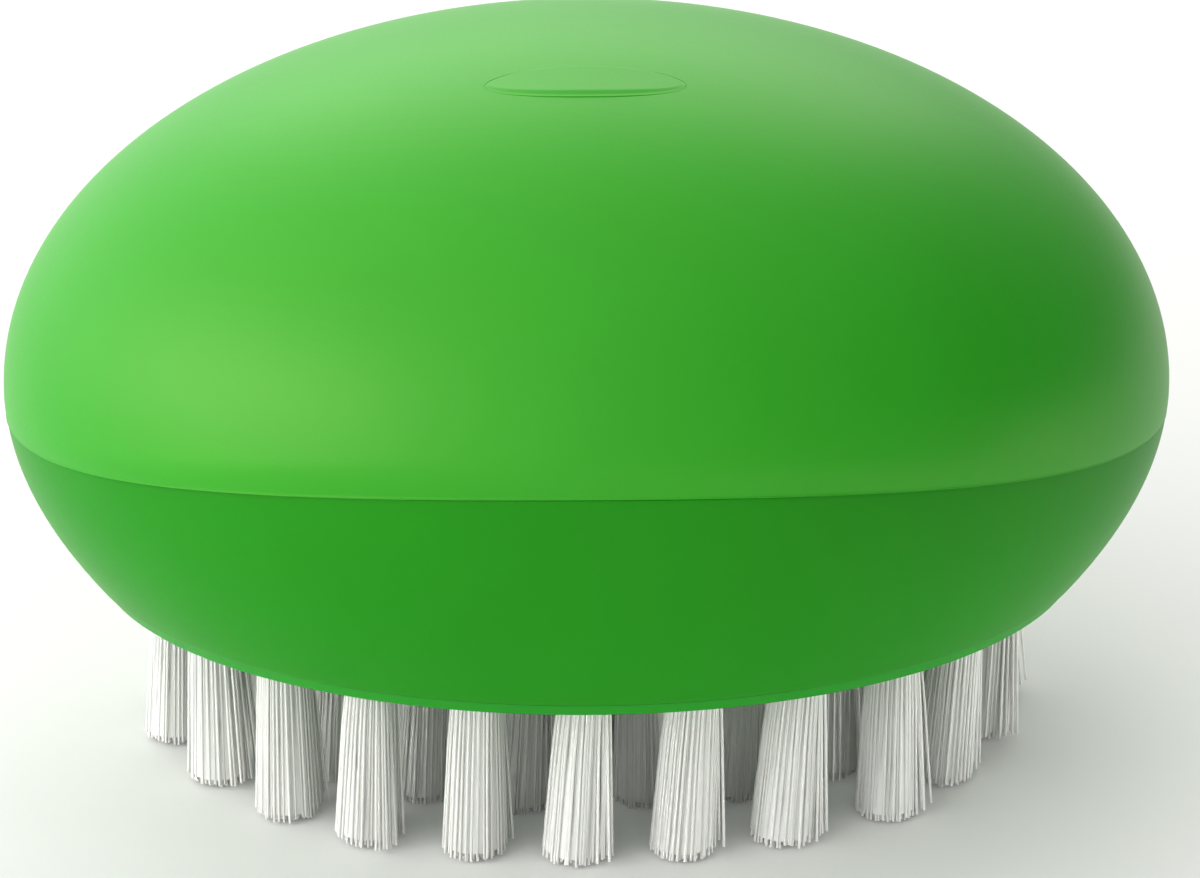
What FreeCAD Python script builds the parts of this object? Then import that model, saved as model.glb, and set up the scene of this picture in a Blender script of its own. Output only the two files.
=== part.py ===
import FreeCAD, Part
import itertools
import math
import os

# Palm-sized vegetable brush. Millimetres. X runs along the brush, Y across it, Z up.
# The origin is on the plane of the bristle tips, under the middle of the brush.

# Outer form: length and width are those of the oval at the girth
length = 84.0
width = 64.0
height = 53.6
girth_height = 26.9
seam_height = 30.7
seam_drop = 5.1
seam_step = 0.15
rim_inset = 5.2
skirt_end_bulge = 1.2
skirt_side_bulge = 0.6

# Walls of the soft grip and of the rigid core
grip_wall_end = 3.6
grip_wall_crown = 2.8
skirt_foot = 1.6
core_wall = 1.9
core_wall_crown = 2.2
core_foot = 1.7

# Bare moulded pad on the front slope of the dome: its face slopes less than the dome,
# so that it stands proud along its front edge and runs out flush at the back
pad_length = 13.6
pad_width = 3.7
pad_forward = 10.2
pad_lift = 0.06
pad_end_drop = 0.5
pad_slope_deg = 11.0

# Bristle block and its snap into the core
bristle_reach = 13.3
flange_thickness = 0.9
flange_setback = 0.15
flange_taper = 0.6
plug_clearance = 0.1
land_height = 3.8
snap_reach = 0.35
snap_rise = 0.9
block_floor = 1.3
plug_chamfer = 0.6

# Bristle tufts: three ovals that share the half width evenly, and a row along the middle.
# Each start is the share of a step by which an oval's first tuft is past the +X end.
hole_diameter = 3.4
hole_depth = 5.8
hole_edge_wall = 1.5
ring_count = 3
outer_count = 22
outer_start = 0.5
second_count = 16
second_start = 0.5
inner_count = 10
inner_start = 0.0
row_count = 3
tip_gap = 1.3
tuft_clearance = 0.03
tuft_splay = 0.03
tuft_flutes = 10
flute_depth = 0.09

# Flat wire anchor across the fold of each tuft
anchor_thickness = 0.4
anchor_height = 1.9
anchor_bite = 0.25
anchor_fold = 0.6

# Sizes that follow from the ones above
half_length = length / 2
oval_ratio = width / length
crown_rise = height - girth_height
rim_half = half_length - rim_inset
flange_top = bristle_reach + flange_thickness
core_half = half_length - grip_wall_end
core_rise = crown_rise - grip_wall_crown
core_foot_half = rim_half - skirt_foot
land_half = core_foot_half - core_foot
plug_half = land_half - plug_clearance
ledge_height = flange_top + land_height
hole_floor = bristle_reach + hole_depth
block_top = hole_floor + block_floor
hole_radius = hole_diameter / 2
root_radius = hole_radius - tuft_clearance
above_brush = height + half_length

ORIGIN = FreeCAD.Vector(0, 0, 0)
UP = FreeCAD.Vector(0, 0, 1)


def vec(x, y, z):
    return FreeCAD.Vector(x, y, z)


def line(start, end):
    return Part.LineSegment(start, end).toShape()


def squash(shape):
    """Turns a round piece into an oval one by narrowing it across Y."""
    narrowing = FreeCAD.Matrix()
    narrowing.scale(1, oval_ratio, 1)
    return shape.transformGeometry(narrowing)


def oval_turning(edges):
    """Revolves a closed half profile in the XZ plane about Z and narrows it to the oval."""
    profile = Part.Face(Part.Wire(Part.__sortEdges__(edges)))
    return squash(profile.revolve(ORIGIN, UP, 360))


def quarter_ellipse(half, rise):
    """Edge from the girth, half out from the axis, up to the crown, rise above the girth."""
    centre = vec(0, 0, girth_height)
    ellipse = Part.Ellipse(vec(half, 0, girth_height), vec(0, 0, girth_height + rise), centre)
    return Part.ArcOfEllipse(ellipse, 0, math.pi / 2).toShape()


def side_arc(top_half, foot_half, foot_height):
    """Radius of the arc that leaves the girth upright and reaches the foot."""
    inset = top_half - foot_half
    drop = girth_height - foot_height
    return (inset * inset + drop * drop) / (2 * inset)


def side_half(top_half, radius, z):
    """Half length, at height z, of a side that follows side_arc."""
    return top_half - radius + math.sqrt(radius ** 2 - (girth_height - z) ** 2)


def side_edge(top_half, radius, foot_height):
    """Edge of that side from the girth down to foot_height."""
    middle_height = (girth_height + foot_height) / 2
    start = vec(top_half, 0, girth_height)
    middle = vec(side_half(top_half, radius, middle_height), 0, middle_height)
    end = vec(side_half(top_half, radius, foot_height), 0, foot_height)
    return Part.Arc(start, middle, end).toShape()


def ellipsoid(rise):
    """Oval pebble of the dome's length and width about the girth."""
    stretch = FreeCAD.Matrix()
    stretch.scale(half_length, width / 2, rise)
    pebble = Part.makeSphere(1).transformGeometry(stretch)
    pebble.translate(vec(0, 0, girth_height))
    return pebble


def arched_profile(crest, half, drop, base_height):
    """Face between a level base and an arc along X that falls by drop at half from its crest."""
    radius = (half ** 2 + drop ** 2) / (2 * drop)
    reach = 1.5 * half
    fall = radius - math.sqrt(radius ** 2 - reach ** 2)
    left = crest + vec(-reach, 0, -fall)
    right = crest + vec(reach, 0, -fall)
    base_left = vec(left.x, crest.y, base_height)
    base_right = vec(right.x, crest.y, base_height)
    edges = [
        Part.Arc(left, crest, right).toShape(),
        line(right, base_right),
        line(base_right, base_left),
        line(base_left, left),
    ]
    return Part.Face(Part.Wire(edges))


def space_above_seam():
    """Everything over the arched seam, which runs lower at the two ends."""
    crest = vec(0, -width, seam_height)
    return arched_profile(crest, half_length, seam_drop, above_brush).extrude(vec(0, 2 * width, 0))


def core_envelope():
    """Solid inside of both grips, which is the outside of the core."""
    radius = side_arc(core_half, core_foot_half, flange_top)
    crown = vec(0, 0, girth_height + core_rise)
    foot = vec(core_foot_half, 0, flange_top)
    axis_foot = vec(0, 0, flange_top)
    return oval_turning([
        quarter_ellipse(core_half, core_rise),
        side_edge(core_half, radius, flange_top),
        line(foot, axis_foot),
        line(axis_foot, crown),
    ])


def core_cavity():
    """Hollow of the core, with the ledge that the block snaps over."""
    inner_half = core_half - core_wall
    inner_rise = core_rise - core_wall_crown
    radius = side_arc(core_half, core_foot_half, flange_top) - core_wall
    ledge_out = vec(side_half(inner_half, radius, ledge_height), 0, ledge_height)
    ledge_in = vec(land_half, 0, ledge_height)
    mouth = vec(land_half, 0, flange_top)
    axis_foot = vec(0, 0, flange_top)
    crown = vec(0, 0, girth_height + inner_rise)
    return oval_turning([
        quarter_ellipse(inner_half, inner_rise),
        side_edge(inner_half, radius, ledge_height),
        line(ledge_out, ledge_in),
        line(ledge_in, mouth),
        line(mouth, axis_foot),
        line(axis_foot, crown),
    ])


def swelling(foot, top, bulge, t):
    """Half size at the share t of the way up a wall that swells between foot and top."""
    return foot + (top - foot) * t + 4 * bulge * t * (1 - t)


def skirt_envelope():
    """Outside of the skirt: oval sections that lean in more at the sides than the dome does."""
    seam_share = math.sqrt(1 - ((seam_height - girth_height) / crown_rise) ** 2)
    side_top = width / 2 * seam_share - seam_step
    sections = []
    levels = 6
    top_level = seam_height + (seam_height - flange_top) / levels
    for level in range(levels + 1):
        z = flange_top + (top_level - flange_top) * level / levels
        along = (z - flange_top) / (girth_height - flange_top)
        across = (z - flange_top) / (seam_height - flange_top)
        half_x = swelling(rim_half, half_length - seam_step, skirt_end_bulge, along)
        half_y = swelling(rim_half * oval_ratio, side_top, skirt_side_bulge, across)
        oval = Part.Ellipse(vec(half_x, 0, z), vec(0, half_y, z), vec(0, 0, z))
        sections.append(Part.Wire(oval.toShape()))
    return Part.makeLoft(sections, True, False)


def pad_column():
    """Upright column over the pad's oval outline."""
    centre = vec(0, -pad_forward, girth_height)
    oval = Part.Ellipse(centre + vec(pad_length / 2, 0, 0), centre + vec(0, pad_width / 2, 0), centre)
    return Part.Face(Part.Wire(oval.toShape())).extrude(vec(0, 0, above_brush))


def space_under_pad():
    """Everything under the pad's face, which arches along X as the dome does."""
    dome_share = math.sqrt(1 - (2 * pad_forward / width) ** 2)
    middle = vec(0, -pad_forward, girth_height + crown_rise * dome_share + pad_lift)
    slope = math.radians(pad_slope_deg)
    back = vec(0, math.cos(slope), math.sin(slope)) * pad_width
    base_height = girth_height - pad_width
    return arched_profile(middle - back, pad_length / 2, pad_end_drop, base_height).extrude(back * 2)


def grip_dome(above_seam, core_solid):
    column = pad_column()
    under_pad = space_under_pad()
    levelled = ellipsoid(crown_rise).cut(column.cut(under_pad))
    outside = levelled.fuse(column.common(under_pad))
    return outside.common(above_seam).cut(core_solid)


def grip_skirt(above_seam, core_solid):
    return skirt_envelope().cut(above_seam).cut(core_solid)


def core_shell(core_solid):
    return core_solid.cut(core_cavity())


def block_blank():
    """Block before drilling: flange, plug and snap bead in one oval turning."""
    flange_half = rim_half - flange_setback
    bead_foot = ledge_height + plug_clearance
    bead_half = land_half + snap_reach
    corners = [
        (0, bristle_reach),
        (flange_half - flange_taper, bristle_reach),
        (flange_half, flange_top),
        (plug_half, flange_top),
        (plug_half, bead_foot),
        (bead_half, bead_foot),
        (plug_half, bead_foot + snap_rise),
        (plug_half, block_top - plug_chamfer),
        (plug_half - plug_chamfer, block_top),
        (0, block_top),
    ]
    points = [vec(x, 0, z) for x, z in corners]
    edges = [line(a, b) for a, b in zip(points, points[1:] + points[:1])]
    return oval_turning(edges)


def even_round_oval(half_x, half_y, count, start):
    """Points spaced evenly along an oval from its +X end, the first past it by start of a step."""
    fine = 720
    turn = [2 * math.pi * i / fine for i in range(fine + 1)]
    path = [vec(half_x * math.cos(t), half_y * math.sin(t), 0) for t in turn]
    run = [0.0]
    for a, b in zip(path, path[1:]):
        run.append(run[-1] + a.distanceToPoint(b))
    points = []
    at = 0
    for k in range(count):
        target = run[-1] * (k + start) / count
        while run[at + 1] < target:
            at += 1
        share = (target - run[at]) / (run[at + 1] - run[at])
        points.append(path[at] + (path[at + 1] - path[at]) * share)
    return points


def tuft_layout():
    """Root centres of the tufts, by group name."""
    edge = hole_edge_wall + hole_radius
    outer_x = plug_half - edge
    outer_y = plug_half * oval_ratio - edge
    pitch = outer_y / ring_count
    second_x = outer_x - pitch
    second_y = outer_y - pitch
    inner_x = second_x - pitch
    inner_y = second_y - pitch
    row_step = 2 * inner_x / (row_count + 1)
    return {
        "tuft_outer": even_round_oval(outer_x, outer_y, outer_count, outer_start),
        "tuft_second": even_round_oval(second_x, second_y, second_count, second_start),
        "tuft_inner": even_round_oval(inner_x, inner_y, inner_count, inner_start),
        "tuft_centre": [vec(row_step * (i + 1) - inner_x, 0, 0) for i in range(row_count)],
    }


def tip_radius(roots):
    """Half width of a tuft at its tips, which clears the nearest neighbour by tip_gap."""
    nearest = min(a.distanceToPoint(b) for a, b in itertools.combinations(roots, 2))
    return (nearest * (1 + tuft_splay) - tip_gap) / 2


def fluted_outline(centre, radius):
    """Closed outline of a bundle of filaments, as shallow flutes round a circle."""
    points = []
    steps = 2 * tuft_flutes
    for i in range(steps):
        turn = 2 * math.pi * i / steps
        reach = radius * (1 - flute_depth * (i % 2))
        points.append(centre + vec(reach * math.cos(turn), reach * math.sin(turn), 0))
    return Part.makePolygon(points + points[:1])


def anchor(root):
    """Flat strip of wire across the hole, whose ends bite into the block."""
    long_side = hole_diameter + 2 * anchor_bite
    foot = hole_floor - anchor_fold - anchor_height
    corner = root + vec(-long_side / 2, -anchor_thickness / 2, foot)
    return Part.makeBox(long_side, anchor_thickness, anchor_height, corner)


def tuft(root, flare):
    """Bundle from the floor of its hole to the tips, leaning out a little and flared to flare."""
    tip = root * (1 + tuft_splay)
    outlines = [
        fluted_outline(root + vec(0, 0, hole_floor), root_radius),
        fluted_outline(root + vec(0, 0, bristle_reach), root_radius),
        fluted_outline(tip, flare),
    ]
    bundle = Part.makeLoft(outlines, True, True)
    return bundle.cut(anchor(root))


def bristle_block(roots, anchors):
    holes = [Part.makeCylinder(hole_radius, hole_depth, root + vec(0, 0, bristle_reach)) for root in roots]
    return block_blank().cut(holes).cut(anchors)


def save(node, shape):
    shape.exportStep(os.path.join("parts", node + ".step"))


def main():
    os.makedirs("parts", exist_ok=True)
    above_seam = space_above_seam()
    core_solid = core_envelope()
    layout = tuft_layout()
    roots = [root for group in layout.values() for root in group]
    anchors = [anchor(root) for root in roots]
    flare = tip_radius(roots)

    save("grip_dome", grip_dome(above_seam, core_solid))
    save("grip_skirt", grip_skirt(above_seam, core_solid))
    save("core_shell", core_shell(core_solid))
    save("bristle_block", bristle_block(roots, anchors))
    save("tuft_anchors", Part.makeCompound(anchors))
    for group, group_roots in layout.items():
        for number, root in enumerate(group_roots, 1):
            save(f"{group}_{number:02d}", tuft(root, flare))


main()
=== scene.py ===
"""Dresses the palm-sized vegetable brush for its studio portrait.

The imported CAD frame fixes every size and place. The soft grip is modelled again
with the rolled edge, the moulding flash and the pad edge that its solids leave
plain, and each bristle tuft becomes a bundle of single filaments.
"""

import logging
import math
from collections.abc import Iterable
from dataclasses import dataclass, field
from enum import Enum

import bpy
import numpy as np
from mathutils import Matrix, Vector


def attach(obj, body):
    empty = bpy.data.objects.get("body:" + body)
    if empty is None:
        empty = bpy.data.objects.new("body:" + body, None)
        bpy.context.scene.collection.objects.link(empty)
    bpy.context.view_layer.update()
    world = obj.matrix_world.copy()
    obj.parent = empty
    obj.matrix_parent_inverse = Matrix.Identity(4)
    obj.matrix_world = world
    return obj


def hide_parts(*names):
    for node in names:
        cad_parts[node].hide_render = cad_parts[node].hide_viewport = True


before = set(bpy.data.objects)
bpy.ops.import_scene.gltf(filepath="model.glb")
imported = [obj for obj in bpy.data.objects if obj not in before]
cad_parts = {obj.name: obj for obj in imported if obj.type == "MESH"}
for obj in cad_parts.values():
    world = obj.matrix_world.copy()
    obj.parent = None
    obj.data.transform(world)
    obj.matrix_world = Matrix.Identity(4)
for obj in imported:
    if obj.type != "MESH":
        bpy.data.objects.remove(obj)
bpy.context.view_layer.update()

LOG = logging.getLogger("brush")
MM = 0.001
BODY = "root"
PHOTO_WIDTH_PX = 1200
FULL_TURN = 2 * math.pi
GOLDEN_ANGLE = math.pi * (3 - math.sqrt(5))
Sockets = dict[str, bpy.types.NodeSocket]


class Slot(Enum):
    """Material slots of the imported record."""

    SOFT_GRIP = "soft_grip"
    BRISTLE = "bristle_nylon"


class Ring(Enum):
    """The four groups of tufts, from the rim inwards."""

    OUTER = "outer"
    SECOND = "second"
    INNER = "inner"
    CENTRE = "centre"


def linear(code: str) -> tuple[float, float, float, float]:
    """Turns an sRGB hex colour into linear RGBA.

    Args:
        code: the colour as "#RRGGBB".

    Returns:
        Linear red, green, blue and an alpha of one.
    """
    shares = [int(code[i:i + 2], 16) / 255 for i in (1, 3, 5)]
    rgb = [s / 12.92 if s <= 0.04045 else ((s + 0.055) / 1.055) ** 2.4 for s in shares]
    return (rgb[0], rgb[1], rgb[2], 1.0)


def per_metre(size_mm: float) -> float:
    """Texture scale on Object coordinates whose pattern repeats about every size_mm."""
    return 1 / (size_mm * MM)


def feed(tree: bpy.types.NodeTree, node: bpy.types.Node, inputs: dict) -> None:
    """Sets or links the inputs of a node.

    Args:
        tree: the tree that the node is in.
        node: the node.
        inputs: for each input, by name or number, a value or the socket that feeds it.
    """
    for key, value in inputs.items():
        if isinstance(value, bpy.types.NodeSocket):
            tree.links.new(value, node.inputs[key])
        else:
            node.inputs[key].default_value = value


def add_node(tree: bpy.types.NodeTree, kind: str, inputs: dict | None = None,
             **settings: object) -> bpy.types.Node:
    """Adds one node with its settings and links.

    Args:
        tree: the shader or geometry tree that gets the node.
        kind: Blender's type name of the node.
        inputs: its inputs, as feed takes them.
        settings: properties of the node itself.

    Returns:
        The new node.
    """
    node = tree.nodes.new(kind)
    for name, value in settings.items():
        setattr(node, name, value)
    feed(tree, node, inputs or {})
    return node


def add_steps(tree: bpy.types.NodeTree, known: Sockets, kind: str, steps: Iterable[tuple]) -> None:
    """Adds the nodes of a calculation, and files each result under the name of its step.

    Args:
        tree: the tree that gets the nodes.
        known: sockets by name, which the steps read and add to.
        kind: Blender's type name of the nodes.
        steps: name, operation and inputs of each step. An input that is a text names a known
            socket, and the operation is empty for nodes that have none.
    """
    for name, operation, *values in steps:
        inputs = {i: known[v] if isinstance(v, str) else v for i, v in enumerate(values)}
        settings = {"operation": operation} if operation else {}
        known[name] = add_node(tree, kind, inputs, **settings).outputs[0]


def new_tree(name: str, sizes: Iterable[str],
             counts: Iterable[str] = ()) -> tuple[bpy.types.NodeTree, Sockets]:
    """Makes a geometry tree that takes a mesh, its sizes and a finish, and gives a mesh.

    Args:
        name: what the tree is called.
        sizes: names of its inputs that are lengths or shares.
        counts: names of its inputs that are whole numbers.

    Returns:
        The tree, and the sockets of its inputs by name.
    """
    tree = bpy.data.node_groups.new(name, "GeometryNodeTree")
    for kind, labels in (("Geometry", ["Geometry"]), ("Float", sizes), ("Int", counts), ("Material", ["Finish"])):
        for label in labels:
            tree.interface.new_socket(name=label, in_out="INPUT", socket_type="NodeSocket" + kind)
    tree.interface.new_socket(name="Geometry", in_out="OUTPUT", socket_type="NodeSocketGeometry")
    given = add_node(tree, "NodeGroupInput").outputs
    return tree, {socket.name: socket for socket in given}


def end_tree(tree: bpy.types.NodeTree, shape: bpy.types.NodeSocket, finish: bpy.types.NodeSocket) -> None:
    """Ends a geometry tree: its instances become mesh, which gets the finish and goes out.

    Args:
        tree: the tree to end.
        shape: the geometry that it has made.
        finish: the material that it was given.
    """
    whole = add_node(tree, "GeometryNodeRealizeInstances", {0: shape})
    dressed = add_node(tree, "GeometryNodeSetMaterial", {0: whole.outputs[0], "Material": finish})
    add_node(tree, "NodeGroupOutput", {0: dressed.outputs[0]})


def new_material(name: str) -> tuple[bpy.types.Material, bpy.types.NodeTree, bpy.types.Node]:
    """Makes an empty node material.

    Args:
        name: what the material is called.

    Returns:
        The material, its node tree and its Principled shader.
    """
    material = bpy.data.materials.new(name)
    material.use_nodes = True
    tree = material.node_tree
    return material, tree, tree.nodes["Principled BSDF"]


def new_piece(name: str, points_mm: np.ndarray, faces: list[tuple[int, ...]],
              edges: list[tuple[int, int]] | None = None) -> bpy.types.Object:
    """Makes a mesh object at the origin from points in millimetres.

    Args:
        name: what the piece is called.
        points_mm: one row of x, y, z per vertex.
        faces: vertex numbers of each face, outward side anticlockwise.
        edges: vertex numbers of each edge that belongs to no face.

    Returns:
        The new object, linked to the scene.
    """
    mesh = bpy.data.meshes.new(name)
    mesh.from_pydata((points_mm * MM).tolist(), edges or [], faces)
    piece = bpy.data.objects.new(name, mesh)
    bpy.context.scene.collection.objects.link(piece)
    return piece


def bake(piece: bpy.types.Object) -> None:
    """Replaces a piece's mesh by what its modifiers make of it, and removes them.

    Args:
        piece: the object to bake.
    """
    graph = bpy.context.evaluated_depsgraph_get()
    mesh = bpy.data.meshes.new_from_object(piece.evaluated_get(graph))
    piece.modifiers.clear()
    old = piece.data
    piece.data = mesh
    mesh.name = piece.name
    bpy.data.meshes.remove(old)


def run_tree(piece: bpy.types.Object, tree: bpy.types.NodeTree, values: dict[str, object]) -> None:
    """Runs a geometry tree on a piece and keeps its result as a plain mesh.

    Args:
        piece: the object whose mesh feeds the tree.
        tree: the geometry tree.
        values: the tree's inputs by name.
    """
    sockets = {item.name: item.identifier for item in tree.interface.items_tree if item.in_out == "INPUT"}
    modifier = piece.modifiers.new(tree.name, "NODES")
    modifier.node_group = tree
    for name, value in values.items():
        modifier[sockets[name]] = value
    bake(piece)


def smooth(piece: bpy.types.Object, crease_deg: float) -> None:
    """Shades a piece smoothly, apart from edges sharper than crease_deg.

    Args:
        piece: the object to shade.
        crease_deg: the angle between two faces above which their edge stays sharp.
    """
    piece.data.shade_smooth()
    piece.data.set_sharp_from_angle(angle=math.radians(crease_deg))


def settle(piece: bpy.types.Object, nodes: list[str]) -> None:
    """Hands a finished piece to the frame.

    Args:
        piece: the object, at the origin.
        nodes: CAD nodes that it stands for.
    """
    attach(piece, BODY)
    if nodes:
        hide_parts(*nodes)


@dataclass(frozen=True)
class SoftTouchElastomer:
    """Thermoplastic elastomer moulded in a finely eroded tool, as on soft kitchen grips."""

    name: str
    colour: str
    cloud_colour: str
    gloss: float
    glint_colour: str = "#FFF6BE"
    bloom_colour: str = "#F4FFC8"
    grain_mm: float = 0.22  # finer on a real grip, and as coarse here as it needs to show
    cloud_mm: float = 9.0

    def material(self) -> bpy.types.Material:
        """Makes the finish: a saturated matt green with a fine grain and a soft bloom at grazing angles.

        Returns:
            The material.
        """
        material, tree, shader = new_material(self.name)
        place = add_node(tree, "ShaderNodeTexCoord").outputs["Object"]
        grain = add_node(tree, "ShaderNodeTexNoise", {
            "Vector": place, "Scale": per_metre(self.grain_mm), "Detail": 3.0, "Roughness": 0.6})
        cloud = add_node(tree, "ShaderNodeTexNoise", {
            "Vector": place, "Scale": per_metre(self.cloud_mm), "Detail": 2.0})
        colour = add_node(tree, "ShaderNodeMix", {
            0: cloud.outputs["Fac"], 6: linear(self.colour), 7: linear(self.cloud_colour)}, data_type="RGBA")
        rough = add_node(tree, "ShaderNodeMapRange", {
            "Value": grain.outputs["Fac"], "To Min": 0.40, "To Max": 0.50})
        bump = add_node(tree, "ShaderNodeBump", {
            "Height": grain.outputs["Fac"], "Strength": 0.22, "Distance": 0.03 * MM})
        feed(tree, shader, {
            "Base Color": colour.outputs[2], "Roughness": rough.outputs[0], "Normal": bump.outputs[0],
            "IOR": 1.48, "Specular IOR Level": self.gloss, "Specular Tint": linear(self.glint_colour),
            "Sheen Weight": 0.06, "Sheen Roughness": 0.40, "Sheen Tint": linear(self.bloom_colour)})
        return material


@dataclass(frozen=True)
class MouldedPolypropylene:
    """Rigid injection-moulded polypropylene in a plain satin tool."""

    name: str
    colour: str
    gloss: float
    flow_lift: float = 1.12
    flow_mm: float = 6.0
    grain_mm: float = 0.35

    def material(self) -> bpy.types.Material:
        """Makes the finish: a satin plastic with faint flow clouds and a slightly uneven gloss.

        Returns:
            The material.
        """
        material, tree, shader = new_material(self.name)
        place = add_node(tree, "ShaderNodeTexCoord").outputs["Object"]
        flow = add_node(tree, "ShaderNodeTexNoise", {
            "Vector": place, "Scale": per_metre(self.flow_mm), "Detail": 3.0})
        grain = add_node(tree, "ShaderNodeTexNoise", {
            "Vector": place, "Scale": per_metre(self.grain_mm), "Detail": 2.0})
        base = linear(self.colour)
        pale = tuple(min(1.0, c * self.flow_lift) for c in base[:3]) + (1.0,)
        colour = add_node(tree, "ShaderNodeMix", {0: flow.outputs["Fac"], 6: base, 7: pale}, data_type="RGBA")
        rough = add_node(tree, "ShaderNodeMapRange", {
            "Value": grain.outputs["Fac"], "To Min": 0.36, "To Max": 0.50})
        bump = add_node(tree, "ShaderNodeBump", {
            "Height": grain.outputs["Fac"], "Strength": 0.10, "Distance": 0.02 * MM})
        feed(tree, shader, {
            "Base Color": colour.outputs[2], "Roughness": rough.outputs[0], "Normal": bump.outputs[0],
            "IOR": 1.49, "Specular IOR Level": self.gloss})
        return material


@dataclass(frozen=True)
class NylonMonofilament:
    """Natural drawn nylon filament, milky and half clear."""

    colour: str = "#E9E9E5"
    shade_colour: str = "#E1E1DD"
    draw_mm: float = 1.4
    depth_mm: float = 0.15

    def material(self) -> bpy.types.Material:
        """Makes the finish: pale glossy strands that differ a little in tone and let light through.

        Returns:
            The material.
        """
        material, tree, shader = new_material("drawn_nylon_filament")
        place = add_node(tree, "ShaderNodeTexCoord").outputs["Object"]
        tone = add_node(tree, "ShaderNodeAttribute", attribute_name="filament_tone")
        draw = add_node(tree, "ShaderNodeTexNoise", {
            "Vector": place, "Scale": per_metre(self.draw_mm), "Detail": 2.0})
        colour = add_node(tree, "ShaderNodeMix", {
            0: tone.outputs["Fac"], 6: linear(self.colour), 7: linear(self.shade_colour)}, data_type="RGBA")
        rough = add_node(tree, "ShaderNodeMapRange", {
            "Value": draw.outputs["Fac"], "To Min": 0.26, "To Max": 0.42})
        feed(tree, shader, {
            "Base Color": colour.outputs[2], "Roughness": rough.outputs[0], "IOR": 1.53, "Subsurface Weight": 0.5,
            "Subsurface Radius": (1.0, 1.0, 1.0), "Subsurface Scale": self.depth_mm * MM})
        return material


@dataclass(frozen=True)
class DrawnSteelWire:
    """Flat drawn steel wire, as staple-set brushes are anchored with."""

    colour: str = "#B9BBBC"
    line_mm: float = 0.12  # finer on real wire, and as coarse here as it needs to show

    def material(self) -> bpy.types.Material:
        """Makes the finish: grey metal with fine drawing lines along X.

        Returns:
            The material.
        """
        material, tree, shader = new_material("drawn_steel_wire")
        place = add_node(tree, "ShaderNodeTexCoord").outputs["Object"]
        along = add_node(tree, "ShaderNodeMapping", {"Vector": place, "Scale": (0.05, 1.0, 1.0)})
        lines = add_node(tree, "ShaderNodeTexNoise", {
            "Vector": along.outputs[0], "Scale": per_metre(self.line_mm), "Detail": 2.0})
        rough = add_node(tree, "ShaderNodeMapRange", {
            "Value": lines.outputs["Fac"], "To Min": 0.25, "To Max": 0.45})
        feed(tree, shader, {"Base Color": linear(self.colour), "Roughness": rough.outputs[0], "Metallic": 1.0})
        return material


@dataclass(frozen=True)
class BrushForm:
    """Outline that the grip pieces share, in millimetres and as in the CAD."""

    half_length: float = 42.0
    half_width: float = 32.0
    girth: float = 26.9
    crown_rise: float = 26.7
    seam_height: float = 30.7
    seam_drop: float = 5.1
    foot: float = 14.2
    rim_half: float = 36.8
    core_half: float = 38.4
    core_half_width: float = 29.257
    core_rise: float = 23.9
    seam_rounds: int = 8

    def seam_at(self, x: np.ndarray) -> np.ndarray:
        """Height of the arched seam at each x."""
        return self.seam_height - self.seam_drop * (x / self.half_length) ** 2

    def seam_tilt(self, turn: np.ndarray, half: float, rise: float) -> np.ndarray:
        """Finds where a dome over the girth meets the seam.

        Args:
            turn: angles round the oval.
            half: half length of the dome.
            rise: height of the dome over the girth.

        Returns:
            For each turn, the angle from the crown down to the seam.
        """
        tilt = np.full_like(turn, math.pi / 2)
        for _ in range(self.seam_rounds):
            x = half * np.sin(tilt) * np.cos(turn)
            tilt = np.arccos((self.seam_at(x) - self.girth) / rise)
        return tilt


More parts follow.
